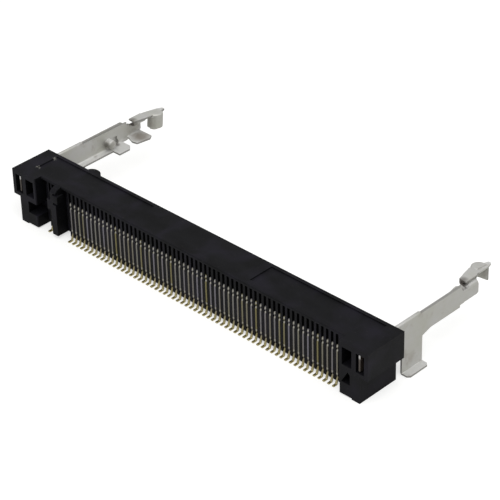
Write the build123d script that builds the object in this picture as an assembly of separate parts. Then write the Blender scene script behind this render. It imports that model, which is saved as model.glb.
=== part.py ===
from build123d import *
import os

# Contact rows: one contact at every place, except the places that the key takes
PITCH = 0.8
PLACES = 66
KEY_FIRST = 1
KEY_PLACES = 4
BANK_SIZE = 5
ROW_SHIFT = 0.18
ROW_END_X = (PLACES - 1) * PITCH / 2
KEY_X = (KEY_FIRST + (KEY_PLACES - 1) / 2) * PITCH - ROW_END_X
CONTACT_WIDTH = 0.34
CONTACT_THICKNESS = 0.2
CONTACT_CLEARANCE = 0.04
TAIL_REACH = 0.8
HEEL_RUN = 0.2

# Card that the socket takes; z is measured from the board
CARD_MARGIN = 3.875
CARD_THICKNESS = 1.0
CARD_BOTTOM_Z = 4.66
CARD_CLEARANCE = 0.08
CARD_WIDTH = 2 * (ROW_END_X + CARD_MARGIN)
CARD_TOP_Z = CARD_BOTTOM_Z + CARD_THICKNESS

# Bends of a rear contact: its strip steps back and out again at each bead
STRIP_PROUD = 0.05
BEAD_DEPTH = 0.12
BEAD_STEP = 0.18
BEAD_RUN = 0.4
FOOT_BEAD_Z = 1.15
HEAD_BEAD_Z = CARD_TOP_Z - 0.41
STRIP_TOP_Z = CARD_TOP_Z + 0.29
BEAM_LENGTH = 2.5
BEAM_PRESS = 0.12
BEAM_TIP = 0.6

# Bends of a front contact
FRONT_UPRIGHT_GAP = 0.28
FRONT_SHOULDER_Z = CARD_BOTTOM_Z - 1.2
FRONT_TIP = (0.5, 0.55)
FRONT_TIP_Y = 0.25

# Slot, with a mouth that lets the card tilt in; y is measured from the rear ends
SLOT_BOTTOM_Y = 2.6
THROAT_LENGTH = 0.8
MOUTH_DROP = 0.56
MOUTH_RISE = 1.39
ROOF = 0.78
KEY_WEB_WIDTH = 1.1

# Middle bar of the moulding
HOUSING_DEPTH = 6.65
HOUSING_HEIGHT = CARD_TOP_Z + MOUTH_RISE + ROOF
UNDERSIDE_Z = 0.5
ROW_FACE_Y = 1.15
ROW_EDGE_RADIUS = 0.15
EDGE_CHAMFER = 0.12
REAR_GROOVE_DEPTH = 0.32
REAR_GROOVE_ROOF = 0.33
BEAM_ROOM = 0.84
FRONT_GROOVE_DEPTH = 0.5
FRONT_CHANNEL_DEPTH = 1.36
CORE_COUNT = 8
CORE_WALL = 0.9
CORE_ROOF = 0.7
KEY_POCKET_DEPTH = 0.75

# Key post on the rear face and the rounded nose over the card's notch
POST_WIDTH = 1.05
POST_DROP = 0.33
POST_BEVEL = 0.35
POST_ROOT = 0.6
LUG_WIDTHS = (0.85, 0.36)
LUG_Z = ((4.1, 5.75), (5.65, 6.75))
NOTCH_DEPTH = 0.5
NOSE_WIDTH = 2.5
NOSE_REACH = 1.65
NOSE_RADIUS = 1.15
NOSE_GAP = 0.29
NOSE_THICKNESS = 1.05

# Latch sheet; from here x is that of the right-hand latch
SHEET = 0.25
LAYER_GAP = 0.05
BEND_RADIUS = 0.3
ARM_CARD_GAP = 0.375
INNER_FACE_X = CARD_WIDTH / 2 + ARM_CARD_GAP
OUTER_FACE_X = INNER_FACE_X + 2 * SHEET + LAYER_GAP
ARM_TOP_Z = HOUSING_HEIGHT - 0.41
ARM_BOTTOM_Z = CARD_BOTTOM_Z - SHEET - 0.01
FAR_BOTTOM_Z = ARM_BOTTOM_Z + 0.15
ARM_START_Y = HOUSING_DEPTH + 0.17
BAR_START_Y = 0.14

# Ends of the moulding, each with a slot for a latch's bar
SLOT_GAPS_X = (0.35, 0.7)
BAR_GAPS_Z = (0.26, 0.13)
END_WALL = 0.6
END_UNDERCUT = 1.23
OVERHANG_Z = 3.9
STANDOFF = 0.18
FOOT_WIDTH = 1.3
BAR_SLOT_FLOOR = 0.55
BAR_SLOT_ROOF = 0.65
BAR_SLOT_X = (OUTER_FACE_X - SHEET - SLOT_GAPS_X[0], OUTER_FACE_X + SLOT_GAPS_X[1])
BAR_SLOT_Z = (OVERHANG_Z + BAR_SLOT_FLOOR, HOUSING_HEIGHT - BAR_SLOT_ROOF)
HOUSING_LENGTH = 2 * (BAR_SLOT_X[1] + END_WALL)
ROW_END_WALL = 1.5
END_BLOCK_X = ROW_END_X + ROW_END_WALL

# Pockets that keep the moulding's walls even
WINDOW_WALLS = (0.45, 0.7)
WINDOW_WIDTH = BAR_SLOT_X[0] - END_BLOCK_X - sum(WINDOW_WALLS)
WINDOW_HEIGHT = 2.55
WINDOW_DROP = 0.73
WINDOW_DEPTH = 1.9
LOWER_POCKET_WIDTH = 1.75
LOWER_POCKET_HEIGHT = 1.8
LOWER_POCKET_ROOF = 0.15
LOWER_POCKET_DEPTH = 2.4
LOWER_POCKET_SLOPE = 0.35
RECESS_START_X = 10.65
RECESS_END_WALL = 0.45
RECESS_REAR_Y = 2.2
RECESS_FRONT_WALL = 0.53
RECESS_DEPTH = 0.16

# Plan of a latch; y is measured from the arm's root, reaches from its outer face
LEG_Y = (1.0, 4.8)
LEG_GUSSET = (1.6, 0.45)
FOOT_REACH = 1.15
FOOT_CLIP = 0.35
FOLD_LENGTH = 4.4
FOLD_RISE = 0.22
LEDGE_REACH = 1.6
TAB_REACH = 2.9
NEAR_TAB_Y = (9.0, 11.6)
FAR_TAB_Y = (12.8, 15.4)
FAR_TAB_REACH = 3.05
FAR_TAB_NECK = (1.2, 0.4)
TAB_CLIP = 0.65
TAB_RELIEF = (0.4, 0.19)
INNER_LENGTH = 12.7
INNER_DROP = 0.15
WALL_TOP_END = 12.1
STEP_Y = 12.5
STEP_Z = ARM_TOP_Z - 0.82
BOSS_Y = (8.2, 10.0)
BOSS_RIDGE = (0.7, 1.15)
BOSS_REACH = 0.9
BOSS_Z = (CARD_BOTTOM_Z + 0.09, CARD_TOP_Z + 0.24)
BOSS_WINDOW = (0.4, 0.8)

# Head of a latch: hook over the card, sloping finger plate and rolled grip
HOOK_Y = (13.43, 15.6)
HOOK_Z = CARD_TOP_Z + 0.84
HOOK_REACH = 1.4
HOOK_RADIUS = 0.42
HEAD_REACH = 3.68
HEAD_DROP = 0.35
HEAD_LEVEL = 0.4
HEAD_TIP = (2.4, 0.7)
HEAD_SHOULDER = 0.6
GRIP_REACH = 2.4
GRIP_START = 0.8
GRIP_RADIUS = 0.6
GRIP_LENGTH = 1.7
GRIP_END_REACH = 0.62
GRIP_BOTTOM_Z = ARM_BOTTOM_Z + 0.75

# The model is centred over its own footprint
CENTRE_Y = (ARM_START_Y + HOOK_Y[1] + HEAD_REACH) / 2


def block(x0, x1, y0, y1, z0, z1):
    """A box between two corners."""
    middle = Pos((x0 + x1) / 2, (y0 + y1) / 2, (z0 + z1) / 2)
    return middle * Box(abs(x1 - x0), abs(y1 - y0), abs(z1 - z0))


def outline(corners):
    """A flat face through corners (u, v), rounded where a corner adds a radius."""
    face = make_face(Polyline(*[corner[:2] for corner in corners], close=True))
    for corner in corners:
        if len(corner) == 3:
            spot = Vector(corner[0], corner[1], 0)
            nearest = min(face.vertices(), key=lambda v: (Vector(v.X, v.Y, v.Z) - spot).length)
            face = fillet(nearest, corner[2])
    return face


def ribbon(points, thickness, radius=0.0):
    """The edge-on outline of a bent strip whose left side follows the points."""
    if radius:
        line = FilletPolyline(*points, radius=radius)
        return make_face(offset(line, thickness, kind=Kind.INTERSECTION, side=Side.RIGHT))
    front = [Vector(*point) for point in points]
    steps = [(b - a).normalized() for a, b in zip(front, front[1:])]
    sides = [Vector(step.Y, -step.X) for step in steps]
    back = []
    for corner, before, after in zip(front, sides[:1] + sides, sides + sides[-1:]):
        mitre = before + after
        back.append(corner + mitre * (2 * thickness / mitre.length**2))
    return make_face(Polyline(*front, *reversed(back), close=True))


def along_x(face, x0, x1):
    """A side outline (y, z) carried from x0 to x1."""
    return extrude(Plane.YZ.offset(x0) * face, x1 - x0)


def along_y(face, y0, y1):
    """A cross-section (x, z) carried from y0 to y1."""
    return extrude(Plane.XZ.offset(-y0) * face, y0 - y1)


def upward(face, z0, z1):
    """A plan outline (x, y) carried from z0 to z1."""
    return extrude(Plane.XY.offset(z0) * face, z1 - z0)


def contact_places():
    """Middle of every contact, leaving out the places that the key takes."""
    taken = range(KEY_FIRST, KEY_FIRST + KEY_PLACES)
    start = ROW_SHIFT - ROW_END_X
    return [start + i * PITCH for i in range(PLACES) if i not in taken]


def housing():
    """The moulding: a grooved bar between two end blocks."""
    end = HOUSING_LENGTH / 2
    lower_end = end - END_UNDERCUT
    bar = outline(
        [
            (ROW_FACE_Y, UNDERSIDE_Z),
            (HOUSING_DEPTH, UNDERSIDE_Z),
            (HOUSING_DEPTH, HOUSING_HEIGHT),
            (ROW_FACE_Y, HOUSING_HEIGHT, ROW_EDGE_RADIUS),
        ]
    )
    body = along_x(bar, -END_BLOCK_X, END_BLOCK_X)
    for side in (-1, 1):
        inner, outer = side * END_BLOCK_X, side * lower_end
        body += block(inner, side * end, 0, HOUSING_DEPTH, OVERHANG_Z, HOUSING_HEIGHT)
        body += block(inner, outer, 0, HOUSING_DEPTH, STANDOFF, OVERHANG_Z)
        body += block(outer - side * FOOT_WIDTH, outer, 0, HOUSING_DEPTH, 0, STANDOFF)
    body = chamfer(body.edges().filter_by(Axis.Z).group_by(SortBy.LENGTH)[-1], EDGE_CHAMFER)
    body -= [card_slot()] + key_pockets()
    body += key_features()
    cuts = [rear_groove(x) for x in contact_places()]
    cuts += [front_groove(x) for x in contact_places()]
    cuts += underside_cores()
    for side in (-1, 1):
        cuts += end_cutouts(side)
    return body - cuts


def card_slot():
    """The slot for the card's edge, level at its bottom and flared at its mouth."""
    half = CARD_WIDTH / 2 + CARD_CLEARANCE
    throat_y = SLOT_BOTTOM_Y + THROAT_LENGTH
    floor_z = CARD_BOTTOM_Z - CARD_CLEARANCE
    roof_z = CARD_TOP_Z + CARD_CLEARANCE
    lengthened = 1.3
    mouth_y = throat_y + (HOUSING_DEPTH - throat_y) * lengthened
    profile = outline(
        [
            (SLOT_BOTTOM_Y, floor_z),
            (throat_y, floor_z),
            (mouth_y, CARD_BOTTOM_Z - MOUTH_DROP * lengthened),
            (mouth_y, CARD_TOP_Z + MOUTH_RISE * lengthened),
            (throat_y, roof_z),
            (SLOT_BOTTOM_Y, roof_z),
        ]
    )
    return along_x(profile, -half, half)


def key_pockets():
    """Pockets at the key, where the rear face has no grooves."""
    places = contact_places()
    lone, first = places[KEY_FIRST - 1], places[KEY_FIRST]
    rib = PITCH / 2
    spans = (
        (-END_BLOCK_X, lone - rib),
        (lone + rib, KEY_X - POST_WIDTH / 2),
        (KEY_X + POST_WIDTH / 2, first - rib),
    )
    floor_y = ROW_FACE_Y + KEY_POCKET_DEPTH
    roof_z = HOUSING_HEIGHT - REAR_GROOVE_ROOF
    return [block(a, b, ROW_FACE_Y - 1, floor_y, UNDERSIDE_Z - 1, roof_z) for a, b in spans]


def key_features():
    """Web across the slot, nose over the card's notch, and the post behind them."""
    web_left, web_right = KEY_X - KEY_WEB_WIDTH / 2, KEY_X + KEY_WEB_WIDTH / 2
    sunk = 0.2
    web = block(
        web_left,
        web_right,
        SLOT_BOTTOM_Y - sunk,
        HOUSING_DEPTH,
        CARD_BOTTOM_Z - MOUTH_DROP - sunk,
        CARD_TOP_Z + MOUTH_RISE + sunk,
    )
    reach = HOUSING_DEPTH + NOSE_REACH
    root = HOUSING_DEPTH - NOSE_RADIUS
    left, right = KEY_X - NOSE_WIDTH / 2, KEY_X + NOSE_WIDTH / 2
    plan = outline(
        [(left, root), (right, root), (right, reach, NOSE_RADIUS), (left, reach, NOSE_RADIUS)]
    )
    nose_z = CARD_TOP_Z + NOSE_GAP
    nose = upward(plan, nose_z, nose_z + NOSE_THICKNESS)
    left, right = KEY_X - POST_WIDTH / 2, KEY_X + POST_WIDTH / 2
    top = HOUSING_HEIGHT - POST_DROP
    side = outline(
        [
            (0, UNDERSIDE_Z),
            (ROW_FACE_Y + POST_ROOT, UNDERSIDE_Z),
            (ROW_FACE_Y + POST_ROOT, HOUSING_HEIGHT),
            (ROW_FACE_Y + ROW_EDGE_RADIUS, HOUSING_HEIGHT),
            (POST_BEVEL, top),
            (0, top - POST_BEVEL),
        ]
    )
    post = along_x(side, left, right)
    low, high = LUG_Z
    post += block(left - LUG_WIDTHS[0], left, 0.15, ROW_FACE_Y + 0.15, *low)
    post += block(right, right + LUG_WIDTHS[1], 0, ROW_FACE_Y, *high)
    for z in (high[0] - POST_BEVEL, high[1]):
        post -= block(KEY_X, right, 0, NOTCH_DEPTH, z, z + POST_BEVEL)
    return web + nose + post


def rear_groove(x):
    """Groove of one rear contact, opening above its strip into the slot's roof."""
    half = CONTACT_WIDTH / 2 + CONTACT_CLEARANCE
    before, below = ROW_FACE_Y - 1, UNDERSIDE_Z - 1
    floor_y = ROW_FACE_Y + REAR_GROOVE_DEPTH
    sill_z = CARD_TOP_Z - CONTACT_THICKNESS
    beam_end = SLOT_BOTTOM_Y + BEAM_LENGTH + CONTACT_THICKNESS
    beam_top = CARD_TOP_Z + BEAM_ROOM
    top = HOUSING_HEIGHT - REAR_GROOVE_ROOF
    slope = (top - beam_top) / (beam_end - ROW_FACE_Y)
    profile = outline(
        [
            (before, below),
            (floor_y, below),
            (floor_y, sill_z),
            (beam_end, sill_z),
            (beam_end, beam_top),
            (before, beam_top + slope * (beam_end - before)),
        ]
    )
    return along_x(profile, x - half, x + half)


def front_groove(x):
    """Groove of one front contact, from the underside up through the slot's floor."""
    half = CONTACT_WIDTH / 2 + CONTACT_CLEARANCE
    floor_y = HOUSING_DEPTH - FRONT_GROOVE_DEPTH
    beyond, below = HOUSING_DEPTH + 1, UNDERSIDE_Z - 1
    channel_z = CARD_BOTTOM_Z - FRONT_CHANNEL_DEPTH
    channel_start = SLOT_BOTTOM_Y + FRONT_TIP_Y / 2
    profile = outline(
        [
            (floor_y, below),
            (beyond, below),
            (beyond, CARD_BOTTOM_Z),
            (channel_start, CARD_BOTTOM_Z),
            (channel_start, channel_z + FRONT_TIP[0]),
            (floor_y, channel_z),
        ]
    )
    return along_x(profile, x - half, x + half)


def end_cutouts(side):
    """Window, bar slot, lower pocket and top recess of one end."""
    before, beyond = -1, HOUSING_DEPTH + 1
    near = END_BLOCK_X + WINDOW_WALLS[0]
    top = HOUSING_HEIGHT - WINDOW_DROP
    window = block(
        side * near,
        side * (near + WINDOW_WIDTH),
        before,
        WINDOW_DEPTH,
        top - WINDOW_HEIGHT,
        top,
    )
    bar_slot = block(side * BAR_SLOT_X[0], side * BAR_SLOT_X[1], before, beyond, *BAR_SLOT_Z)
    recess = block(
        side * RECESS_START_X,
        side * (BAR_SLOT_X[0] - RECESS_END_WALL),
        RECESS_REAR_Y,
        HOUSING_DEPTH - RECESS_FRONT_WALL,
        HOUSING_HEIGHT - RECESS_DEPTH,
        HOUSING_HEIGHT + 1,
    )
    high = OVERHANG_Z - LOWER_POCKET_ROOF
    low = high - LOWER_POCKET_HEIGHT
    far = END_BLOCK_X + LOWER_POCKET_WIDTH
    if side < 0:
        pocket = block(-far, -END_BLOCK_X, before, LOWER_POCKET_DEPTH, low, high)
    else:
        clip = LOWER_POCKET_SLOPE
        gusset = outline([(END_BLOCK_X + clip, low), (far, low), (far, high - clip), (far - clip, high)])
        pocket = along_y(gusset, before, LOWER_POCKET_DEPTH)
    return [window, bar_slot, recess, pocket]


def underside_cores():
    """Row of core pockets that lighten the bar from below."""
    near = ROW_FACE_Y + REAR_GROOVE_DEPTH + CORE_WALL
    far = HOUSING_DEPTH - FRONT_GROOVE_DEPTH - CORE_WALL
    top = CARD_BOTTOM_Z - FRONT_CHANNEL_DEPTH - CORE_ROOF
    span = 2 * END_BLOCK_X / CORE_COUNT
    lefts = [i * span - END_BLOCK_X + CORE_WALL / 2 for i in range(CORE_COUNT)]
    return [
        block(left, left + span - CORE_WALL, near, far, UNDERSIDE_Z - 1, top) for left in lefts
    ]


def rear_contact():
    """Side outline of an upper contact: tail, beaded strip, beam over the card and tip."""
    face_y = ROW_FACE_Y - STRIP_PROUD
    back_y = face_y + BEAD_DEPTH
    tail_y = ROW_FACE_Y - TAIL_REACH
    touch_z = CARD_TOP_Z - BEAM_PRESS + CONTACT_THICKNESS
    tip_y = SLOT_BOTTOM_Y + BEAM_LENGTH
    return [
        (tail_y, CONTACT_THICKNESS),
        (face_y - HEEL_RUN, CONTACT_THICKNESS),
        (back_y, FOOT_BEAD_Z),
        (face_y, FOOT_BEAD_Z + BEAD_STEP),
        (face_y, HEAD_BEAD_Z - BEAD_RUN),
        (back_y, HEAD_BEAD_Z),
        (face_y, HEAD_BEAD_Z + BEAD_STEP),
        (back_y, STRIP_TOP_Z),
        (tip_y - BEAM_TIP, touch_z),
        (tip_y, touch_z + BEAM_TIP / 2),
    ]


def front_contact():
    """Side outline of a lower contact: tip, beam under the card, upright and tail."""
    upright_y = HOUSING_DEPTH - FRONT_GROOVE_DEPTH + FRONT_UPRIGHT_GAP
    tip_y = SLOT_BOTTOM_Y + FRONT_TIP_Y
    heel_y = upright_y + HEEL_RUN
    touch_z = CARD_BOTTOM_Z
    return [
        (tip_y, touch_z - FRONT_TIP[1]),
        (tip_y + FRONT_TIP[0], touch_z),
        (upright_y, FRONT_SHOULDER_Z),
        (upright_y, UNDERSIDE_Z + CONTACT_CLEARANCE),
        (heel_y, CONTACT_THICKNESS),
        (heel_y + TAIL_REACH - HEEL_RUN, CONTACT_THICKNESS),
    ]


def stamped(points):
    """One contact blanked from strip: its side outline at the contact's width."""
    return along_x(ribbon(points, CONTACT_THICKNESS), -CONTACT_WIDTH / 2, CONTACT_WIDTH / 2)


def right_latch():
    """One folded sheet, built from the root of its arm and then put in its slot."""
    sheet = outer_wall() + solder_foot() + top_fold() + inner_layer() + boss()
    sheet += far_tab() + hook() + finger_plate() + grip()
    return Pos(0, ARM_START_Y, 0) * sheet


def outer_wall():
    """Flat wall of the latch: bar in the housing's slot, leg and arm."""
    bar_start = BAR_START_Y - ARM_START_Y
    low, high = BAR_SLOT_Z[0] + BAR_GAPS_Z[0], BAR_SLOT_Z[1] - BAR_GAPS_Z[1]
    side = outline(
        [
            (bar_start, low),
            (0, low),
            (0, ARM_BOTTOM_Z),
            (LEG_Y[0], ARM_BOTTOM_Z),
            (LEG_Y[0], BEND_RADIUS),
            (LEG_Y[1], BEND_RADIUS),
            (LEG_Y[1], ARM_BOTTOM_Z - LEG_GUSSET[1]),
            (LEG_Y[1] + LEG_GUSSET[0], ARM_BOTTOM_Z),
            (NEAR_TAB_Y[1] + TAB_RELIEF[0], ARM_BOTTOM_Z),
            (NEAR_TAB_Y[1] + TAB_RELIEF[0], FAR_BOTTOM_Z + TAB_RELIEF[1]),
            (FAR_TAB_Y[0], FAR_BOTTOM_Z + TAB_RELIEF[1]),
            (FAR_TAB_Y[0], FAR_BOTTOM_Z + BEND_RADIUS),
            (FAR_TAB_Y[1], FAR_BOTTOM_Z + BEND_RADIUS),
            (HOOK_Y[1], FAR_BOTTOM_Z + 0.4),
            (HOOK_Y[1], HOOK_Z - HOOK_RADIUS),
            (HOOK_Y[0], HOOK_Z - HOOK_RADIUS),
            (HOOK_Y[0], STEP_Z),
            (STEP_Y, STEP_Z),
            (WALL_TOP_END, ARM_TOP_Z, 0.4),
            (FOLD_LENGTH, ARM_TOP_Z),
            (FOLD_LENGTH, ARM_TOP_Z - BEND_RADIUS),
            (0, ARM_TOP_Z - BEND_RADIUS),
            (0, high),
            (bar_start, high),
        ]
    )
    return along_x(side, OUTER_FACE_X - SHEET, OUTER_FACE_X)


def solder_foot():
    """Foot turned outwards at the bottom of the leg."""
    wall_x = OUTER_FACE_X - SHEET
    section = ribbon(
        [(OUTER_FACE_X + FOOT_REACH, 0), (wall_x, 0), (wall_x, BEND_RADIUS + SHEET)],
        SHEET,
        BEND_RADIUS,
    )
    near, far = LEG_Y
    foot_x = OUTER_FACE_X + FOOT_REACH
    plan = outline(
        [
            (wall_x - 1, near),
            (foot_x - FOOT_CLIP, near),
            (foot_x, near + FOOT_CLIP),
            (foot_x, far - FOOT_CLIP),
            (foot_x - FOOT_CLIP, far),
            (wall_x - 1, far),
        ]
    )
    return along_y(section, near - 1, far + 1) & upward(plan, -1, 1)


def top_fold():
    """Tight fold over the arm's top that joins its two layers near the root."""
    low = ARM_TOP_Z - 2 * BEND_RADIUS
    top = ARM_TOP_Z + FOLD_RISE
    section = outline(
        [
            (INNER_FACE_X, low),
            (INNER_FACE_X, top, SHEET),
            (OUTER_FACE_X, top, SHEET),
            (OUTER_FACE_X, low),
        ]
    )
    gap = block(
        INNER_FACE_X + SHEET,
        OUTER_FACE_X - SHEET,
        -1,
        FOLD_LENGTH + 1,
        low - 1,
        top - SHEET,
    )
    return along_y(section, 0, FOLD_LENGTH) - gap


def inner_layer():
    """Second layer of the arm, bent in along its bottom to a ledge under the card."""
    back_x = INNER_FACE_X + SHEET
    ledge_x = OUTER_FACE_X - LEDGE_REACH
    tab_x = OUTER_FACE_X - TAB_REACH
    top = ARM_TOP_Z - INNER_DROP
    section = ribbon(
        [(back_x, top), (back_x, ARM_BOTTOM_Z), (tab_x - 1, ARM_BOTTOM_Z)],
        SHEET,
        SHEET + BEND_RADIUS,
    )
    upright_x = INNER_FACE_X - LAYER_GAP
    plan = outline(
        [
            (back_x + 1, -1),
            (ledge_x, -1),
            (ledge_x, NEAR_TAB_Y[0]),
            (tab_x, NEAR_TAB_Y[0]),
            (tab_x, NEAR_TAB_Y[1] - TAB_CLIP),
            (tab_x + TAB_CLIP, NEAR_TAB_Y[1]),
            (upright_x, NEAR_TAB_Y[1]),
            (upright_x, INNER_LENGTH + 1),
            (back_x + 1, INNER_LENGTH + 1),
        ]
    )
    layer = along_y(section, 0, INNER_LENGTH) & upward(plan, ARM_BOTTOM_Z - 1, top + 1)
    window = block(
        INNER_FACE_X,
        back_x,
        BOSS_Y[0] + BOSS_WINDOW[0],
        BOSS_Y[1] + BOSS_WINDOW[1],
        BOSS_Z[0],
        BOSS_Z[1] + LAYER_GAP,
    )
    return layer - window


def boss():
    """Tongue pressed in from the inner layer, which drops into the card's side notch."""
    near, far = BOSS_Y
    ridge_x = INNER_FACE_X - BOSS_REACH
    start, end = near + BOSS_RIDGE[0], near + BOSS_RIDGE[1]
    plan = ribbon(
        [(INNER_FACE_X, near), (ridge_x, start), (ridge_x, end), (INNER_FACE_X, far)],
        SHEET,
        BEND_RADIUS,
    )
    return upward(plan, *BOSS_Z)


def far_tab():
    """Tab bent in from the bottom of the outer wall, under the hook."""
    tab_x = OUTER_FACE_X - FAR_TAB_REACH
    section = ribbon(
        [
            (OUTER_FACE_X, FAR_BOTTOM_Z + 2 * BEND_RADIUS),
            (OUTER_FACE_X, FAR_BOTTOM_Z),
            (tab_x - 1, FAR_BOTTOM_Z),
        ],
        SHEET,
        SHEET + BEND_RADIUS / 2,
    )
    near, far = FAR_TAB_Y
    neck, lean = FAR_TAB_NECK
    plan = outline(
        [
            (OUTER_FACE_X + 1, near),
            (INNER_FACE_X - SHEET, near),
            (tab_x + neck, near - lean),
            (tab_x + lean, near - lean / 2),
            (tab_x, far - TAB_CLIP),
            (tab_x + lean, far),
            (OUTER_FACE_X + 1, far),
        ]
    )
    bent = along_y(section, near - 1, far + 1)
    return bent & upward(plan, FAR_BOTTOM_Z - 1, FAR_BOTTOM_Z + 1)


def hook():
    """Curl at the arm's end: in over the card, up, and back out at the top."""
    wall_x = OUTER_FACE_X - SHEET
    nose_x = OUTER_FACE_X - HOOK_REACH
    section = ribbon(
        [
            (wall_x, HOOK_Z - 2 * HOOK_RADIUS),
            (wall_x, HOOK_Z),
            (nose_x, HOOK_Z),
            (nose_x, ARM_TOP_Z),
            (wall_x, ARM_TOP_Z),
        ],
        SHEET,
        HOOK_RADIUS,
    )
    return along_y(section, *HOOK_Y)


def plate_side(depth):
    """Side line at a depth below the plate's top: level over the hook, then sloping."""
    near, far = HOOK_Y[0] - 1, HOOK_Y[1] + HEAD_LEVEL
    slope = HEAD_DROP / (HEAD_REACH - HEAD_LEVEL)
    beyond = HEAD_REACH + 1
    top = ARM_TOP_Z - depth
    return [(near, top), (far, top), (far + beyond, top - slope * beyond)]


def finger_plate():
    """Plate on top of the head that a finger pushes outwards."""
    edge_x = OUTER_FACE_X - SHEET
    hook_x = OUTER_FACE_X - HOOK_REACH
    grip_x = OUTER_FACE_X - GRIP_REACH - SHEET / 2
    near, far = HOOK_Y
    tip = far + HEAD_REACH
    taper_y, tip_x = HEAD_TIP
    plan = outline(
        [
            (edge_x, near + BEND_RADIUS),
            (hook_x, near),
            (hook_x - HEAD_LEVEL, far - HEAD_SHOULDER, 0.3),
            (grip_x + HEAD_SHOULDER, far + HEAD_LEVEL / 2),
            (grip_x, tip - taper_y, 0.3),
            (hook_x, tip),
            (edge_x - tip_x, tip, 0.3),
            (edge_x - HEAD_LEVEL, tip - 1),
            (edge_x - HEAD_LEVEL / 2, far + HEAD_SHOULDER),
        ]
    )
    sheet = along_x(ribbon(plate_side(0), SHEET), grip_x - 1, OUTER_FACE_X + 1)
    return sheet & upward(plan, GRIP_BOTTOM_Z, ARM_TOP_Z + 1)


def grip():
    """Rolled skirt under the finger plate, open towards the outside."""
    grip_x = OUTER_FACE_X - GRIP_REACH
    start = HOOK_Y[1] + GRIP_START
    end = start + GRIP_LENGTH
    plan = ribbon(
        [
            (grip_x + GRIP_START, start - SHEET),
            (grip_x, start),
            (grip_x, end),
            (OUTER_FACE_X - GRIP_END_REACH, end + SHEET),
        ],
        SHEET,
        GRIP_RADIUS,
    )
    near, bend, tip = plate_side(SHEET / 2)
    below = outline([near, bend, tip, (tip[0], 0), (near[0], 0)])
    skirt = upward(plan, GRIP_BOTTOM_Z, ARM_TOP_Z + 1)
    return skirt & along_x(below, grip_x - 1, OUTER_FACE_X + 1)


def save(shape, name):
    """Write one node, shifted so that the part stands centred over its origin."""
    moved = Pos(0, -CENTRE_Y, 0) * shape
    moved.label = name
    export_step(moved, f"parts/{name}.step")


def banks(contact, name):
    """Copies of one contact at every place, written in groups of separate solids."""
    places = contact_places()
    for start in range(0, len(places), BANK_SIZE):
        group = [Pos(x, 0, 0) * contact for x in places[start : start + BANK_SIZE]]
        save(Compound(children=group), f"{name}_{start // BANK_SIZE + 1:02d}")


os.makedirs("parts", exist_ok=True)
save(housing(), "housing")
latch = right_latch()
save(latch, "right_latch")
save(mirror(latch, about=Plane.YZ), "left_latch")
banks(stamped(rear_contact()), "rear_contacts")
banks(stamped(front_contact()), "front_contacts")
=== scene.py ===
import math

import bpy
from mathutils import Matrix, Vector


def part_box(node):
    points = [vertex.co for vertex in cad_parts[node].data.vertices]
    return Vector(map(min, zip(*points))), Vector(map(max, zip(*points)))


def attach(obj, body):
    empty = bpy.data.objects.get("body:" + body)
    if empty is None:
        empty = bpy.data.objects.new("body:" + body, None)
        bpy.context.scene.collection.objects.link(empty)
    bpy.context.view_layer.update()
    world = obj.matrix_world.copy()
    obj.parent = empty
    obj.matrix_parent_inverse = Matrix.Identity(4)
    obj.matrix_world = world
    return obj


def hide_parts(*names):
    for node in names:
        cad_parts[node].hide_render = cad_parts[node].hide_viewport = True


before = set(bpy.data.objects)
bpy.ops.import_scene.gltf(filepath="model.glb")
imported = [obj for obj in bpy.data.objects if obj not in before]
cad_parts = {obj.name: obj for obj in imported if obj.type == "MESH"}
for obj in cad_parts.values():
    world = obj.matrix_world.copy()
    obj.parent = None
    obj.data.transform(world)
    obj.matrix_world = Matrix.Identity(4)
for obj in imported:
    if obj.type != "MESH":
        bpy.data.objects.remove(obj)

bl_info = {
    "name": "Card edge socket",
    "version": (1, 0, 0),
    "blender": (4, 5, 0),
    "location": "View3D > Sidebar > Socket",
    "description": "Finishes a low board socket with its contacts and folded latch arms",
    "category": "Object",
}

MM = 0.001
HOUSING_BODY = "housing_body"
CUT_EDGE = "cut_edge"

# Sizes and places are in millimetres. Of each mirrored pair, the right latch's place is given.

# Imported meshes: points closer than this are one, and faces flatter than this angle are one
MERGE_REACH, FLAT_ANGLE = 0.0005, math.radians(0.6)
# Edges sharper than the first angle are broken, and shading is smooth up to the second
BREAK_ANGLE, SMOOTH_ANGLE = math.radians(30), math.radians(50)
# A face looks along an axis where its normal goes further that way than this
FACING = 0.9
# Turn that lays a cylinder down along x
LYING = (0, math.radians(90), 0)

# Moulding: its top, and where that is rubbed pale at the left end of its recess
HOUSING_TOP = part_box("housing")[1][2] / MM
RUBS, RUB_RADIUS = ((-29.64, -10.45, HOUSING_TOP), (-29.65, -7.45, HOUSING_TOP)), 0.42
# Grooves and pockets lie inside this place along x, and their sides that face along x get
# painted shade; beyond it is the right end's outer face
GROOVES_END = 31.0
# Length over which the painted shade of the grooves and of the slot fades out
SHADE_FADE = 0.3

# Rear contacts: heights of the beads in the upright strips, which get painted highlights, and of
# the lines below them, which get painted shade
BEAD_HEIGHTS, BEAD_REACH = (5.72, 5.08, 1.62), 0.16
LINE_HEIGHTS, LINE_REACH = (5.4, 1.25), 0.1
# The tail's plating ends between these heights
TAIL_END = (0.4, 1.4)
# Share of its width that an upright strip keeps above its tail, and where it stands
STRIP_SHARE = 0.8
STRIP_FOOT, STRIP_REAR = 0.9, -11.4
# Contacts stand at whole steps of the pitch, set off by a part of one
PITCH, ROW_PHASE = 0.8, -0.275

# Latches: the round knob, the relief hole beside it, and the tongue that the knob covers
KNOB_PLACE = (30.3, 2.8, 5.52)
KNOB_RADIUS, KNOB_REACH, KNOB_ROUNDING = 0.68, 1.1, 0.28
RELIEF_PLACE, RELIEF_RADIUS, RELIEF_DEPTH = (30.05, 4.3, 5.12), 0.42, 0.9
TONGUE_X, TONGUE_Y, TONGUE_Z = (29.0, 30.1), (1.7, 4.0), (4.72, 5.95)
TONGUE_SHIFT = 0.78
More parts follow.
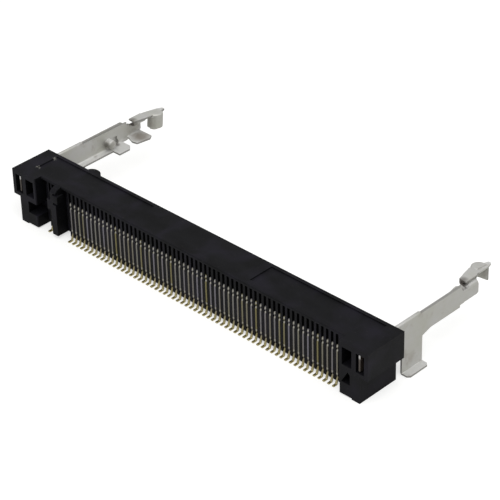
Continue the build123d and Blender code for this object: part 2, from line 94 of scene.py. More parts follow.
# Rolled grip: a barrel whose sheet is a little thinned, cut open on its outer side
GRIP_PLACE, GRIP_RADIUS, GRIP_SHOULDER = (29.4, 11.25), 1.15, 0.3
GRIP_BOTTOM, GRIP_TOP, GRIP_LEAN = 5.16, 7.34, math.radians(6)
GRIP_OPENING, GRIP_THINNING = 0.35, 0.8
# Inner corner of the finger plate, how far its points reach from it, and the plate's underside
CORNER_PLACE, CORNER_REACH, CORNER_SHIFT = (28.4, 10.65), (0.3, 0.4), 0.55
PLATE_BOTTOM = 7.0
# The finger plates lie above these heights, and get less painted light than the flat faces below
PLATE_HEIGHTS = (7.1, 7.35)
# Behind this place along y the bar lies in the housing's slot, where it gets painted shade
SLOT_FRONT = -6.4
# The bar's rear end, the depth of its end face, and how strong the painted shade on that face is
# beside that on the bar's sides
BAR_END, END_FACE, END_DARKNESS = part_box("right_latch")[0][1] / MM, (0.04, 0.06), 0.86
# Top of the bar, and how far below it the painted highlight on the tip of the end face begins
# and is full
BAR_TOP, TIP_FADE = 6.9, (0.5, 0.2)
# Painted shade in spots of the latches, on both sides: setting of the colour, place, radius,
# strength
STAINS_AND_SHADES = (
    # Far tab, painted shade under the plate above it
    ("stain_and_shade", (28.9, 7.9, 4.7), 1.6, 0.75),
    # Painted shade in the mouth of the hook
    ("painted_shade", (29.95, 7.3, 6.93), 0.95, 0.9),
    # Painted shade on the bend below the relief hole
    ("painted_shade", (30.05, 4.3, 4.95), 0.62, 0.95),
    # Painted shade on the rear side of the knob
    ("painted_shade", (29.75, 2.35, 5.5), 0.95, 0.55),
)
# A face counts as a cut edge by how closely two of its sides match the sheet, and by its width
CROSSING, NARROW = 0.03, 1.05

# Sizes of the features of each pattern, on the moulding, the latches and the contacts
MELT_FLOW, SKIN_FILM, FIBRE, CHIP = 20 / 3, 50 / 13, 5 / 13, 5 / 21
PLATING_CLOUD, SMEAR = 50 / 13, 50 / 21
GOLD_TURN, BLOOM_TURN, PLATING_GRAIN = 10 / 9, 50 / 31, 1 / 30

# Stage, in metres and, for the lift, as strengths of light where 1 is white
FLOOR_SIZE = 6.0
KEY_SIZE, KEY_PLACE = 0.7, (0.2, -0.2, 0.5)
RIM_SIZE, RIM_PLACE = 0.25, (0.3, 0.3, 0.25)
CAMERA_LIFT, METAL_LIFT = 0.6, 0.2

# Settings of the nodes that mix colours, multiply and take the larger of two values
BLEND = {"data_type": "RGBA"}
TIMES = {"operation": "MULTIPLY"}
LARGER = {"operation": "MAXIMUM"}


def srgb(code):
    """Linear red, green, blue and alpha of an sRGB hex value."""
    parts = [int(code[i : i + 2], 16) / 255 for i in (1, 3, 5)]
    return [p / 12.92 if p <= 0.04045 else ((p + 0.055) / 1.055) ** 2.4 for p in parts] + [1.0]


def colour(name, code, description):
    """A colour property with its default given as sRGB hex."""
    return bpy.props.FloatVectorProperty(
        name=name,
        description=description,
        subtype="COLOR",
        size=4,
        min=0,
        max=1,
        default=srgb(code),
    )


def length(name, millimetres, description):
    """A length property with its default given in millimetres."""
    return bpy.props.FloatProperty(
        name=name,
        description=description,
        unit="LENGTH",
        min=0,
        precision=6,
        default=millimetres * MM,
    )


def share(name, value, description):
    """A property between nought and one."""
    return bpy.props.FloatProperty(
        name=name, description=description, subtype="FACTOR", min=0, max=1, default=value
    )


def power(name, watts, description):
    """The power of a lamp."""
    return bpy.props.FloatProperty(
        name=name, description=description, unit="POWER", default=watts
    )


class MouldingSettings(bpy.types.PropertyGroup):
    plastic: colour("Plastic", "#17171a", "Glass-filled moulding compound")
    plastic_dark: colour("Dark plastic", "#0f0f11", "Patches where the melt flowed last")
    bloom: colour("Bloom", "#201e27", "Faint bluish film on the moulded skin")
    # Painted shade on the sides of the grooves and pockets
    groove_shade: colour("Groove", "#040405", "Sides of the grooves and pockets")
    scuff: colour("Scuff", "#9c9a92", "Plastic rubbed pale")
    edge: length("Edge radius", 0.05, "Radius that the mould leaves on an edge")
    grain: length("Grain", 0.09, "Size of the eroded mould's grain")
    sink: length("Sink", 2.4, "Distance between the soft hollows left by cooling")
    roughness: share("Roughness", 0.55, "Roughness of the moulded face")


class LatchSettings(bpy.types.PropertyGroup):
    steel: colour("Steel", "#d2d1cf", "Plated spring steel")
    tint: colour("Tint", "#c6c6bb", "Warmer patches in the plating")
    # Random brown patches of handling and heat, and painted shade on the far tab
    stain_and_shade: colour("Stain", "#94897c", "Brown shadow of handling and heat")
    # Painted shade in the hook, the relief hole and beside the knob, and on the bar in the slot
    painted_shade: colour("Dark stain", "#4a4039", "Inside of the hook and of the bar's slot")
    # Painted shade on the upright faces
    shade: colour("Shade", "#a6a59f", "Duller skin of the upright faces")
    # Painted light on the flat faces that face up
    painted_top_light: colour("Polished", "#eeeeec", "Flat faces that the forming tool polished")
    sheared: colour("Sheared edge", "#8f8d89", "Bare steel where the sheet was cut")
    edge: length("Edge radius", 0.035, "Edge that stamping rolls over")
    brush: length("Brush line", 0.03, "Distance between rolling lines")
    sheet: length("Sheet", 0.25, "Thickness of the sheet, by which its cut edges are found")
    roughness: share("Roughness", 0.45, "Roughness of the rolled face")


class ContactSettings(bpy.types.PropertyGroup):
    nickel: colour("Nickel", "#85837d", "Dull plating on the upright strip")
    gold: colour("Gold", "#857e5a", "Thin gold over nickel")
    bloom: colour("Bloom", "#7f7c84", "Lilac film that some strips have")
    tail: colour("Tail", "#c2b683", "Plating of the soldered tail")
    # Painted highlight on the beads
    painted_bead_highlight: colour("Burnished", "#b4b1a6", "Bead polished by the coining tool")
    # Painted shade in the line below a bead
    painted_line_shade: colour("Grime", "#35332e", "Dark line below a bead")
    edge: length("Edge radius", 0.06, "Edge that coining rounds")
    roughness: share("Roughness", 0.3, "Roughness of the plating")


class StageSettings(bpy.types.PropertyGroup):
    floor: colour("Floor", "#cbcbc9", "Plain floor")
    key: power("Key", 2.1, "Power of the large light above")
    rim: power("Rim", 0.1, "Power of the low light behind")
    fill: share("Fill", 0.5, "Strength of the light that comes from everywhere")


class Graph:
    """The nodes and links of one material under construction."""

    def __init__(self, name):
        self.material = bpy.data.materials.new(name)
        self.material.use_nodes = True
        self.tree = self.material.node_tree
        self.tree.nodes.clear()

    def add(self, kind, settings=None, out=0, **inputs):
        """Adds a node with its settings, sets or links its inputs, and gives one output.

        An input goes by its name, with underscores for spaces, or by an underscore and its
        number.
        """
        node = self.tree.nodes.new("ShaderNode" + kind)
        for key, value in (settings or {}).items():
            setattr(node, key, value)
        for key, value in inputs.items():
            socket = node.inputs[int(key[1:]) if key[1:].isdigit() else key.replace("_", " ")]
            if isinstance(value, bpy.types.NodeSocket):
                self.tree.links.new(value, socket)
            else:
                socket.default_value = value
        return node.outputs[out] if node.outputs else None


def clear_selection():
    """Leaves edit mode and selects nothing."""
    if bpy.context.object and bpy.context.object.mode != "OBJECT":
        bpy.ops.object.mode_set(mode="OBJECT")
    bpy.ops.object.select_all(action="DESELECT")


def make_active(piece):
    """Selects one object alone."""
    clear_selection()
    piece.select_set(True)
    bpy.context.view_layer.objects.active = piece


def apply_modifier(piece, kind, **settings):
    """Adds a modifier with its settings and applies it."""
    make_active(piece)
    bpy.ops.object.modifier_add(type=kind)
    modifier = piece.modifiers[-1]
    for key, value in settings.items():
        setattr(modifier, key, value)
    bpy.ops.object.modifier_apply(modifier=modifier.name)


def solid_copy(name, node):
    """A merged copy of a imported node, with each flat face made whole again."""
    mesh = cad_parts[node].data.copy()
    mesh.materials.clear()
    piece = bpy.data.objects.new(name, mesh)
    bpy.context.scene.collection.objects.link(piece)
    make_active(piece)
    bpy.ops.object.mode_set(mode="EDIT")
    bpy.ops.mesh.select_all(action="SELECT")
    bpy.ops.mesh.remove_doubles(threshold=MERGE_REACH * MM)
    bpy.ops.mesh.dissolve_limited(angle_limit=FLAT_ANGLE)
    bpy.ops.object.mode_set(mode="OBJECT")
    return piece


def mark_cut_edges(piece, sheet):
    """Marks the narrow faces where the sheet was cut: two of their sides cross its thickness."""
    mesh = piece.data
    mark = mesh.attributes.new(CUT_EDGE, "FLOAT", "FACE")
    for face in mesh.polygons:
        points = [mesh.vertices[i].co for i in face.vertices]
        sides = [(b - a).length for a, b in zip(points, points[1:] + points[:1])]
        across = sum(abs(side - sheet) < CROSSING * sheet for side in sides)
        width = 2 * face.area / sum(sides)
        mark.data[face.index].value = float(across >= 2 and width < NARROW * sheet)


def break_edges(piece, radius):
    """Rounds the sharp edges and shades the faces between them evenly."""
    apply_modifier(
        piece,
        "BEVEL",
        width=radius,
        segments=2,
        limit_method="ANGLE",
        angle_limit=BREAK_ANGLE,
        use_clamp_overlap=True,
        loop_slide=False,
    )
    apply_modifier(piece, "TRIANGULATE", min_vertices=5)
    make_active(piece)
    bpy.ops.object.shade_smooth_by_angle(angle=SMOOTH_ANGLE)
    apply_modifier(piece, "WEIGHTED_NORMAL", keep_sharp=True, weight=80)


def select_points(piece, wanted):
    """Enters edit mode with only the points selected whose place, in millimetres, is wanted."""
    make_active(piece)
    bpy.ops.object.mode_set(mode="EDIT")
    bpy.ops.mesh.select_all(action="DESELECT")
    bpy.ops.object.mode_set(mode="OBJECT")
    for vertex in piece.data.vertices:
        vertex.select = wanted(*(vertex.co / MM))
    bpy.ops.object.mode_set(mode="EDIT")
    bpy.ops.mesh.select_mode(type="VERT")


def select_faces(piece, wanted):
    """Enters edit mode with only the faces selected whose normal is wanted."""
    make_active(piece)
    bpy.ops.object.mode_set(mode="EDIT")
    bpy.ops.mesh.select_mode(type="FACE")
    bpy.ops.mesh.select_all(action="DESELECT")
    bpy.ops.object.mode_set(mode="OBJECT")
    for face in piece.data.polygons:
        face.select = wanted(face.normal)
    bpy.ops.object.mode_set(mode="EDIT")


def new_cylinder(x, y, z, radius, depth, vertices, turn=(0, 0, 0)):
    """A cylinder with its sizes in millimetres, and its place and turn put into its mesh."""
    clear_selection()
    bpy.ops.mesh.primitive_cylinder_add(
        vertices=vertices,
        radius=radius * MM,
        depth=depth * MM,
        location=(x * MM, y * MM, z * MM),
        rotation=turn,
    )
    piece = bpy.context.object
    make_active(piece)
    bpy.ops.object.transform_apply(location=True, rotation=True, scale=True)
    return piece


def level_top(piece):
    """Brings points that the bevel lifted above the moulding's top back to it."""
    select_points(piece, lambda x, y, z: z > HOUSING_TOP)
    bpy.ops.transform.resize(value=(1, 1, 0), center_override=(0, 0, HOUSING_TOP * MM))
    bpy.ops.object.mode_set(mode="OBJECT")


def notch_knob(side):
    """Round knob pressed in from the arm's inner layer, which drops into the card's notch."""
    x, y, z = KNOB_PLACE
    knob = new_cylinder(side * (x - KNOB_REACH / 2), y, z, KNOB_RADIUS, KNOB_REACH, 48, LYING)
    select_faces(knob, lambda normal: normal.x * side < -FACING)
    bpy.ops.mesh.bevel(offset=KNOB_ROUNDING * MM, segments=6, affect="EDGES")
    bpy.ops.object.mode_set(mode="OBJECT")
    bpy.ops.object.shade_smooth_by_angle(angle=SMOOTH_ANGLE)
    return knob


def grip_roll(side, sheet):
    """Rolled skirt of the finger grip: a barrel with a rounded shoulder, open at its outer side
    and below."""
    x, y = side * GRIP_PLACE[0], GRIP_PLACE[1]
    middle = (GRIP_TOP + GRIP_BOTTOM) / 2
    roll = new_cylinder(x, y, middle, GRIP_RADIUS, GRIP_TOP - GRIP_BOTTOM, 64)
    select_faces(roll, lambda normal: normal.z < -FACING)
    bpy.ops.mesh.delete(type="FACE")
    bpy.ops.object.mode_set(mode="OBJECT")
    select_faces(roll, lambda normal: normal.z > FACING)
    bpy.ops.mesh.bevel(offset=GRIP_SHOULDER * MM, segments=5, affect="EDGES")
    bpy.ops.mesh.select_all(action="SELECT")
    bpy.ops.mesh.bisect(
        plane_co=((x + side * GRIP_OPENING) * MM, 0, 0), plane_no=(side, 0, 0), clear_outer=True
    )
    bpy.ops.mesh.select_all(action="SELECT")
    bpy.ops.transform.rotate(
        value=GRIP_LEAN, orient_axis="X", center_override=(x * MM, y * MM, GRIP_TOP * MM)
    )
    bpy.ops.object.mode_set(mode="OBJECT")
    apply_modifier(roll, "SOLIDIFY", thickness=sheet, offset=-1)
    bpy.ops.object.shade_smooth_by_angle(angle=SMOOTH_ANGLE)
    return roll


def draw_back_plate(piece, side):
    """Draws the finger plate's inner corner back, so that the rolled grip shows its shoulder."""

    def at_corner(x, y, z):
        off = abs(side * x - CORNER_PLACE[0]), abs(y - CORNER_PLACE[1])
        return off[0] < CORNER_REACH[0] and off[1] < CORNER_REACH[1] and z > PLATE_BOTTOM

    select_points(piece, at_corner)
    bpy.ops.transform.translate(value=(side * CORNER_SHIFT * MM, 0, 0))
    bpy.ops.object.mode_set(mode="OBJECT")


def press_tongue_flat(piece, side):
    """Presses the tongue back towards the layer, where the round knob covers it."""

    def in_tongue(x, y, z):
        spans = ((side * x, TONGUE_X), (y, TONGUE_Y), (z, TONGUE_Z))
        return all(low < value < high for value, (low, high) in spans)

    select_points(piece, in_tongue)
    bpy.ops.transform.translate(value=(side * TONGUE_SHIFT * MM, 0, 0))
    bpy.ops.object.mode_set(mode="OBJECT")


def relieve_bend(piece, side):
    """Round relief hole in the bend beside the knob, in place of the tongue's window."""
    x, y, z = RELIEF_PLACE
    punch = new_cylinder(side * x, y, z, RELIEF_RADIUS, RELIEF_DEPTH, 32, LYING)
    apply_modifier(piece, "BOOLEAN", object=punch, operation="DIFFERENCE", solver="EXACT")
    bpy.data.objects.remove(punch)


def finish_piece(piece, nodes, body, material):
    """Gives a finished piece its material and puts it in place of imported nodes."""
    piece.data.materials.clear()
    piece.data.materials.append(material)
    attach(piece, body)
    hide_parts(*nodes)


def object_place(graph, scale=(1, 1, 1)):
    """Object coordinates, stretched by a scale."""
    place = graph.add("TexCoord", out="Object")
    return graph.add("Mapping", Vector=place, Scale=scale)


def spots(graph, place, centres, radius):
    """One inside any of the round spots about the centres, nought outside, soft between."""
    total = 0.0
    for centre in centres:
        middle = [c * MM for c in centre]
        apart = graph.add(
            "VectorMath", {"operation": "DISTANCE"}, out="Value", _0=place, _1=middle
        )
        near = graph.add(
            "MapRange",
            Value=apart,
            From_Min=0.3 * radius * MM,
            From_Max=radius * MM,
            To_Min=1.0,
            To_Max=0.0,
        )
        total = graph.add("Math", LARGER, _0=near, _1=total)
    return total


def bands(graph, height, middles, reach):
    """One at any of the heights, nought beyond a reach from them, in millimetres."""
    total = 0.0
    for middle in middles:
        off = graph.add("Math", {"operation": "SUBTRACT"}, _0=height, _1=middle * MM)
        apart = graph.add("Math", {"operation": "ABSOLUTE"}, _0=off)
        near = graph.add(
            "MapRange",
            Value=apart,
            From_Min=0.4 * reach * MM,
            From_Max=reach * MM,
            To_Min=1.0,
            To_Max=0.0,
        )
        total = graph.add("Math", LARGER, _0=near, _1=total)
    return total


def moulded_plastic(settings):
    """Glass-filled polymer from a spark-eroded mould: nearly black, satin, pale where rubbed,
    with painted shade on the sides of its grooves and pockets.
    """
    graph = Graph("moulded_glass_filled_polymer")
    place = object_place(graph)
    stretched = object_place(graph, (1, 2.5, 1))
    flow = graph.add("TexNoise", Vector=stretched, Scale=1 / (MELT_FLOW * MM), Detail=4.0)
    patches = graph.add("MapRange", Value=flow, From_Min=0.35, From_Max=0.65)
    base = graph.add("Mix", BLEND, 2, _0=patches, _6=settings.plastic_dark, _7=settings.plastic)
    film = graph.add(
        "TexNoise", Vector=place, Scale=1 / (SKIN_FILM * MM), Detail=2.0, Distortion=0.4
    )
    bloom = graph.add("MapRange", Value=film, From_Min=0.45, From_Max=0.7, To_Max=0.8)
    base = graph.add("Mix", BLEND, 2, _0=bloom, _6=base, _7=settings.bloom)
    # Painted shade: the sides of grooves and pockets that face along x are painted nearly black
    normal = graph.add("NewGeometry", out="Normal")
    facing = graph.add("SeparateXYZ", out="X", Vector=normal)
    sideways = graph.add("MapRange", Value=facing, From_Min=0.5, From_Max=0.9)
    across = graph.add("SeparateXYZ", out="X", Vector=place)
    inner = graph.add(
        "MapRange",
        Value=across,
        From_Min=(GROOVES_END - SHADE_FADE) * MM,
        From_Max=GROOVES_END * MM,
        To_Min=0.85,
        To_Max=0.0,
    )
    groove_shade = graph.add("Math", TIMES, _0=sideways, _1=inner)
    base = graph.add("Mix", BLEND, 2, _0=groove_shade, _6=base, _7=settings.groove_shade)
    # A glass fibre is 0.01 mm thick, so the specks are drawn coarser, as they need to show
    fibres = graph.add(
        "TexVoronoi", Vector=object_place(graph, (0.35, 1, 1)), Scale=1 / (FIBRE * MM)
    )
    speck = graph.add("MapRange", Value=fibres, From_Max=0.12, To_Min=0.1, To_Max=0.0)
    base = graph.add("Mix", BLEND, 2, _0=speck, _6=base, _7=settings.scuff)
    chips = graph.add(
        "TexNoise", Vector=place, Scale=1 / (CHIP * MM), Detail=4.0, Roughness=0.7
    )
    ragged = graph.add("MapRange", Value=chips, From_Min=0.47, From_Max=0.6)
    marks = spots(graph, place, RUBS, RUB_RADIUS)
    rubbed = graph.add("Math", TIMES, _0=marks, _1=ragged)
    base = graph.add("Mix", BLEND, 2, _0=rubbed, _6=base, _7=settings.scuff)
    # Cooling leaves soft hollows. The eroded mould leaves a grain on them that is finer than can
    # show, so it is drawn as coarse as its setting says
    hollows = graph.add("TexNoise", Vector=place, Scale=1 / settings.sink, Detail=1.0)
    sunk = graph.add("Bump", Strength=0.5, Distance=0.05 * MM, Height=hollows)
    grain = graph.add(
        "TexNoise", Vector=place, Scale=1 / settings.grain, Detail=3.0, Roughness=0.65
    )
    relief = graph.add("Bump", Strength=0.4, Distance=0.012 * MM, Height=grain, Normal=sunk)
    rough = graph.add(
        "MapRange",
        Value=grain,
        From_Min=0.3,
        From_Max=0.7,
        To_Min=settings.roughness - 0.07,
        To_Max=settings.roughness + 0.09,
    )
    shader = graph.add(
        "BsdfPrincipled",
        Base_Color=base,
        Roughness=rough,
        IOR=1.5,
        Specular_IOR_Level=0.12,
        Normal=relief,
    )
    graph.add("OutputMaterial", Surface=shader)
    return graph.material


def rolled_steel(settings):
    """Plated spring strip: satin grey, lined along the strip, browned in patches and darker
    where it was sheared, with painted shade on its upright faces, in spots and in the slot,
    painted light on its flat faces and a painted highlight on the bar's tip."""
    graph = Graph("plated_spring_strip")
    place = object_place(graph)
    height = graph.add("SeparateXYZ", out="Z", Vector=place)
    cloud = graph.add(
        "TexNoise", Vector=place, Scale=1 / (PLATING_CLOUD * MM), Detail=4.0, Roughness=0.6
    )
    warm = graph.add("MapRange", Value=cloud, From_Min=0.35, From_Max=0.7)
    base = graph.add("Mix", BLEND, 2, _0=warm, _6=settings.steel, _7=settings.tint)
    # Painted shade: faces that stand upright are painted a little darker than flat ones
    normal = graph.add("NewGeometry", out="Normal")
    facing = graph.add("SeparateXYZ", out="Z", Vector=normal)
    upright = graph.add(
        "MapRange", Value=facing, From_Min=0.25, From_Max=0.6, To_Min=0.3, To_Max=0.0
    )
    base = graph.add("Mix", BLEND, 2, _0=upright, _6=base, _7=settings.shade)
    # Painted light: flat faces that face up are painted lighter, the plates on top much less so
    flat = graph.add("MapRange", Value=facing, From_Min=0.6, From_Max=0.95)
    below_plates = graph.add(
        "MapRange",
        Value=height,
        From_Min=PLATE_HEIGHTS[0] * MM,
        From_Max=PLATE_HEIGHTS[1] * MM,
        To_Min=0.95,
        To_Max=0.15,
    )
    painted_top_light = graph.add("Math", TIMES, _0=flat, _1=below_plates)
    base = graph.add("Mix", BLEND, 2, _0=painted_top_light, _6=base, _7=settings.painted_top_light)
    smear = graph.add(
        "TexNoise",
        Vector=place,
        Scale=1 / (SMEAR * MM),
        Detail=5.0,
        Roughness=0.65,
        Distortion=0.6,
    )
    smeared = graph.add("MapRange", Value=smear, From_Min=0.56, From_Max=0.74, To_Max=0.55)
    base = graph.add("Mix", BLEND, 2, _0=smeared, _6=base, _7=settings.stain_and_shade)
    # Each spot mixes in its colour as painted shade
    for kind, (x, y, z), radius, strength in STAINS_AND_SHADES:
        both = spots(graph, place, ((x, y, z), (-x, y, z)), radius)
        stained = graph.add("Math", TIMES, _0=both, _1=strength)
        base = graph.add("Mix", BLEND, 2, _0=stained, _6=base, _7=getattr(settings, kind))
    cut = graph.add("Attribute", {"attribute_name": CUT_EDGE}, "Fac")
    sheared = graph.add("Math", TIMES, _0=cut, _1=0.7)
    base = graph.add("Mix", BLEND, 2, _0=sheared, _6=base, _7=settings.sheared)
    # In the slot the bar gets painted shade, a little less on its rear end, and the top of that
    # end gets a painted highlight
    along = graph.add("SeparateXYZ", out="Y", Vector=place)
    inside = graph.add(
        "MapRange",
        Value=along,
        From_Min=(SLOT_FRONT - SHADE_FADE) * MM,
        From_Max=SLOT_FRONT * MM,
        To_Min=1.0,
        To_Max=0.0,
    )
    sides = graph.add(
        "MapRange",
        Value=along,
        From_Min=(BAR_END + END_FACE[0]) * MM,
        From_Max=(BAR_END + END_FACE[1]) * MM,
        To_Min=END_DARKNESS,
        To_Max=1.0,
    )
    in_slot = graph.add("Math", TIMES, _0=inside, _1=sides)
    base = graph.add("Mix", BLEND, 2, _0=in_slot, _6=base, _7=settings.painted_shade)
    rear = graph.add("MapRange", Value=sides, From_Min=END_DARKNESS, To_Min=1.0, To_Max=0.0)
    near_top = graph.add(
        "MapRange",
        Value=height,
        From_Min=(BAR_TOP - TIP_FADE[0]) * MM,
        From_Max=(BAR_TOP - TIP_FADE[1]) * MM,
    )
    painted_tip_highlight = graph.add("Math", TIMES, _0=near_top, _1=rear)
    base = graph.add("Mix", BLEND, 2, _0=painted_tip_highlight, _6=base, _7=settings.steel)
    # Rolling lines run along the strip, and a sheared face is rougher than a rolled one
    line = 1 / settings.brush
    drawn_out = object_place(graph, (line, line * 0.04, line))
    lines = graph.add("TexNoise", Vector=drawn_out, Scale=1.0, Detail=3.0)
    rolled = graph.add(
        "MapRange",
        Value=lines,
        From_Min=0.3,
        From_Max=0.7,
        To_Min=settings.roughness - 0.06,
        To_Max=settings.roughness + 0.1,
    )
    torn = graph.add("Math", TIMES, _0=cut, _1=0.15)
    rough = graph.add("Math", {"operation": "ADD"}, _0=rolled, _1=torn)
    relief = graph.add("Bump", Strength=0.2, Distance=0.004 * MM, Height=lines)
    # Satin plating scatters about as much light as it mirrors
    shader = graph.add(
        "BsdfPrincipled", Base_Color=base, Metallic=0.5, Roughness=rough, Normal=relief
    )
    graph.add("OutputMaterial", Surface=shader)
    return graph.material


def plated_contact(settings):
    """Stamped phosphor bronze: dull nickel on the strip, thin gold towards the tail and tip."""
    graph = Graph("plated_phosphor_bronze")
    place = object_place(graph)
    height = graph.add("SeparateXYZ", out="Z", Vector=place)
    base = settings.nickel
    # Each strip took the plating a little differently: the tint turns from one to the next
    for film, turn in ((settings.gold, GOLD_TURN), (settings.bloom, BLOOM_TURN)):
        row = object_place(graph, (1, 0.02, 0.02))
        each = graph.add("TexNoise", Vector=row, Scale=1 / (turn * MM), Detail=1.0)
        filmed = graph.add("MapRange", Value=each, From_Min=0.42, From_Max=0.6)
        base = graph.add("Mix", BLEND, 2, _0=filmed, _6=base, _7=film)
    low = graph.add(
        "MapRange",
        Value=height,
        From_Min=TAIL_END[0] * MM,
        From_Max=TAIL_END[1] * MM,
        To_Min=1.0,
        To_Max=0.0,
    )
    base = graph.add("Mix", BLEND, 2, _0=low, _6=base, _7=settings.tail)
    # Painted shade along the lines below the beads
    dark = bands(graph, height, LINE_HEIGHTS, LINE_REACH)
    base = graph.add("Mix", BLEND, 2, _0=dark, _6=base, _7=settings.painted_line_shade)
    # Painted highlights on the beads
    beads = bands(graph, height, BEAD_HEIGHTS, BEAD_REACH)
    base = graph.add("Mix", BLEND, 2, _0=beads, _6=base, _7=settings.painted_bead_highlight)
    # Plating has a grain of some thousandths of a millimetre, so it is drawn coarser
    drawn_out = object_place(graph, (1, 1, 0.1))
    grain = graph.add("TexNoise", Vector=drawn_out, Scale=1 / (PLATING_GRAIN * MM), Detail=2.0)
    rough = graph.add(
        "MapRange",
        Value=grain,
        From_Min=0.3,
        From_Max=0.7,
        To_Min=settings.roughness - 0.06,
        To_Max=settings.roughness + 0.12,
    )
    relief = graph.add("Bump", Strength=0.15, Distance=0.003 * MM, Height=grain)
    shader = graph.add(
        "BsdfPrincipled", Base_Color=base, Metallic=1.0, Roughness=rough, Normal=relief
    )
    graph.add("OutputMaterial", Surface=shader)
    return graph.material


class SOCKET_OT_moulding(bpy.types.Operator):
    """Finish the moulded housing"""

    bl_idname = "socket.moulding"
    bl_label = "Moulding"

    def execute(self, context):
        settings = context.scene.socket_moulding
        piece = solid_copy("moulding", "housing")
        break_edges(piece, settings.edge)
        level_top(piece)
        plastic = moulded_plastic(settings)
        finish_piece(piece, ["housing"], HOUSING_BODY, plastic)
        return {"FINISHED"}


class SOCKET_OT_latches(bpy.types.Operator):
    """Finish the two folded latch arms"""

    bl_idname = "socket.latches"
    bl_label = "Latches"

    def execute(self, context):
        settings = context.scene.socket_latches
        steel = rolled_steel(settings)
        for name, side in (("right", 1), ("left", -1)):
            node = f"{name}_latch"
            piece = solid_copy(f"{name}_latch_arm", node)
            mark_cut_edges(piece, settings.sheet)
            draw_back_plate(piece, side)
            press_tongue_flat(piece, side)
            relieve_bend(piece, side)
            break_edges(piece, settings.edge)
            pressed = [notch_knob(side), grip_roll(side, settings.sheet * GRIP_THINNING)]
            make_active(piece)
            for part in pressed:
                part.select_set(True)
            bpy.ops.object.join()
            finish_piece(piece, [node], f"{node}_body", steel)
        return {"FINISHED"}


class SOCKET_OT_contacts(bpy.types.Operator):
    """Finish both rows of stamped contacts"""

    bl_idname = "socket.contacts"
    bl_label = "Contacts"

    def execute(self, context):
        settings = context.scene.socket_contacts
        plating = plated_contact(settings)
        for node in sorted(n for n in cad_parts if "_contacts_" in n):
            piece = solid_copy(node.replace("contacts", "contact_bank"), node)
            if node.startswith("rear"):
                self.narrow_strips(piece)
            break_edges(piece, settings.edge)
            finish_piece(piece, [node], HOUSING_BODY, plating)
        return {"FINISHED"}

    def narrow_strips(self, piece):
        """Narrows each contact above its tail, so that a dark gap shows on both sides of it."""
        upper = [v.co.x for v in piece.data.vertices if v.co.z > STRIP_FOOT * MM]
        for step in sorted({round(x / (PITCH * MM) - ROW_PHASE) for x in upper}):
            middle = (step + ROW_PHASE) * PITCH

            def in_strip(x, y, z):
                return abs(x - middle) < PITCH / 2 and z > STRIP_FOOT and y < STRIP_REAR

            select_points(piece, in_strip)
            bpy.ops.transform.resize(
                value=(STRIP_SHARE, 1, 1), center_override=(middle * MM, 0, 0)
            )
            bpy.ops.object.mode_set(mode="OBJECT")


def floor_material(settings):
    """Plain pale floor, lifted to white in what the camera sees, and a little in what metal
    sees."""
    graph = Graph("pale_floor")
    lit = graph.add("BsdfDiffuse", Color=settings.floor)
    camera_ray = graph.add("LightPath", out="Is Camera Ray")
    glossy_ray = graph.add("LightPath", out="Is Glossy Ray")
    for_camera = graph.add("Math", TIMES, _0=camera_ray, _1=CAMERA_LIFT)
    for_metal = graph.add("Math", TIMES, _0=glossy_ray, _1=METAL_LIFT)
    lift = graph.add("Math", {"operation": "ADD"}, _0=for_camera, _1=for_metal)
    glow = graph.add("Emission", Color=(1, 1, 1, 1), Strength=lift)
    both = graph.add("AddShader", _0=lit, _1=glow)
    graph.add("OutputMaterial", Surface=both)
    return graph.material


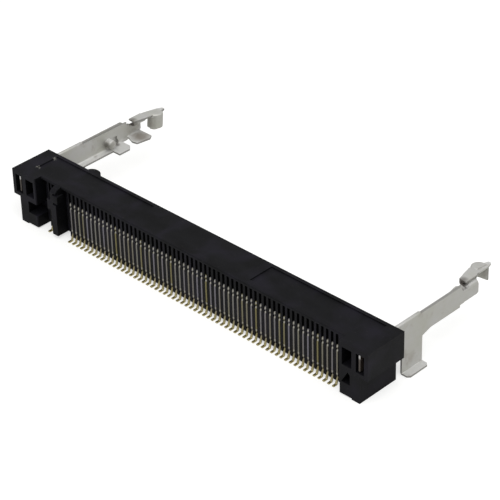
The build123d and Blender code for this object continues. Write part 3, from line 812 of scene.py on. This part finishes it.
class SOCKET_OT_stage(bpy.types.Operator):
    """Set up the floor, the lights and the camera"""

    bl_idname = "socket.stage"
    bl_label = "Stage"

    def execute(self, context):
        settings = context.scene.socket_stage
        clear_selection()
        bpy.ops.mesh.primitive_plane_add(size=FLOOR_SIZE, location=(0, 0, 0))
        floor = context.object
        floor.name = "floor"
        floor.data.materials.append(floor_material(settings))
        world = bpy.data.worlds.new("studio")
        world.use_nodes = True
        sky = world.node_tree.nodes["Background"]
        sky.inputs["Color"].default_value = (1, 1, 1, 1)
        sky.inputs["Strength"].default_value = settings.fill
        context.scene.world = world
        self.lamp("key", settings.key, KEY_SIZE, KEY_PLACE)
        self.lamp("rim", settings.rim, RIM_SIZE, RIM_PLACE)
        self.camera(context)
        context.scene.view_settings.view_transform = "Standard"
        return {"FINISHED"}

    def lamp(self, name, watts, size, place):
        """A square light at a place, aimed at the socket."""
        bpy.ops.object.light_add(type="AREA", location=place)
        lamp = bpy.context.object
        lamp.name = name
        lamp.data.energy = watts
        lamp.data.size = size
        lamp.rotation_euler = (-Vector(place)).to_track_quat("-Z", "Y").to_euler()

    def camera(self, context):
        """The camera of the photograph: its angles are in radians."""
        azimuth, elevation, roll = 0.7833, 0.5808, -0.0280
        place = Vector((166.392, -167.093, 157.006)) * MM
        focal_pixels, frame_pixels, sensor = 2140.31, 500, 36.0
        ahead = Vector(
            (
                -math.sin(azimuth) * math.cos(elevation),
                math.cos(azimuth) * math.cos(elevation),
                -math.sin(elevation),
            )
        )
        level = ahead.cross(Vector((0, 0, 1))).normalized()
        upright = level.cross(ahead)
        right = level * math.cos(roll) + upright * math.sin(roll)
        up = upright * math.cos(roll) - level * math.sin(roll)
        bpy.ops.object.camera_add()
        camera = context.object
        turn = Matrix((right, up, -ahead)).transposed()
        camera.matrix_world = Matrix.Translation(place) @ turn.to_4x4()
        camera.data.sensor_width = sensor
        camera.data.lens = focal_pixels * sensor / frame_pixels
        camera.data.clip_start = 0.01
        camera.data.clip_end = 20
        context.scene.camera = camera


OPERATORS = (SOCKET_OT_moulding, SOCKET_OT_latches, SOCKET_OT_contacts, SOCKET_OT_stage)
SETTINGS = {
    "socket_moulding": MouldingSettings,
    "socket_latches": LatchSettings,
    "socket_contacts": ContactSettings,
    "socket_stage": StageSettings,
}


class SOCKET_PT_panel(bpy.types.Panel):
    """Lists the operators and their settings"""

    bl_idname = "SOCKET_PT_panel"
    bl_label = "Card edge socket"
    bl_space_type = "VIEW_3D"
    bl_region_type = "UI"
    bl_category = "Socket"

    def draw(self, context):
        for operator in OPERATORS:
            self.layout.operator(operator.bl_idname)
        for name, group in SETTINGS.items():
            box = self.layout.box()
            for key in group.__annotations__:
                box.prop(getattr(context.scene, name), key)


def register():
    for group in SETTINGS.values():
        bpy.utils.register_class(group)
    for name, group in SETTINGS.items():
        setattr(bpy.types.Scene, name, bpy.props.PointerProperty(type=group))
    for operator in OPERATORS:
        bpy.utils.register_class(operator)
    bpy.utils.register_class(SOCKET_PT_panel)


def unregister():
    bpy.utils.unregister_class(SOCKET_PT_panel)
    for operator in reversed(OPERATORS):
        bpy.utils.unregister_class(operator)
    for name in SETTINGS:
        delattr(bpy.types.Scene, name)
    for group in SETTINGS.values():
        bpy.utils.unregister_class(group)


def main():
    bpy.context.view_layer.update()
    register()
    bpy.ops.socket.stage()
    bpy.ops.socket.moulding()
    bpy.ops.socket.latches()
    bpy.ops.socket.contacts()


if __name__ == "__main__":
    main()
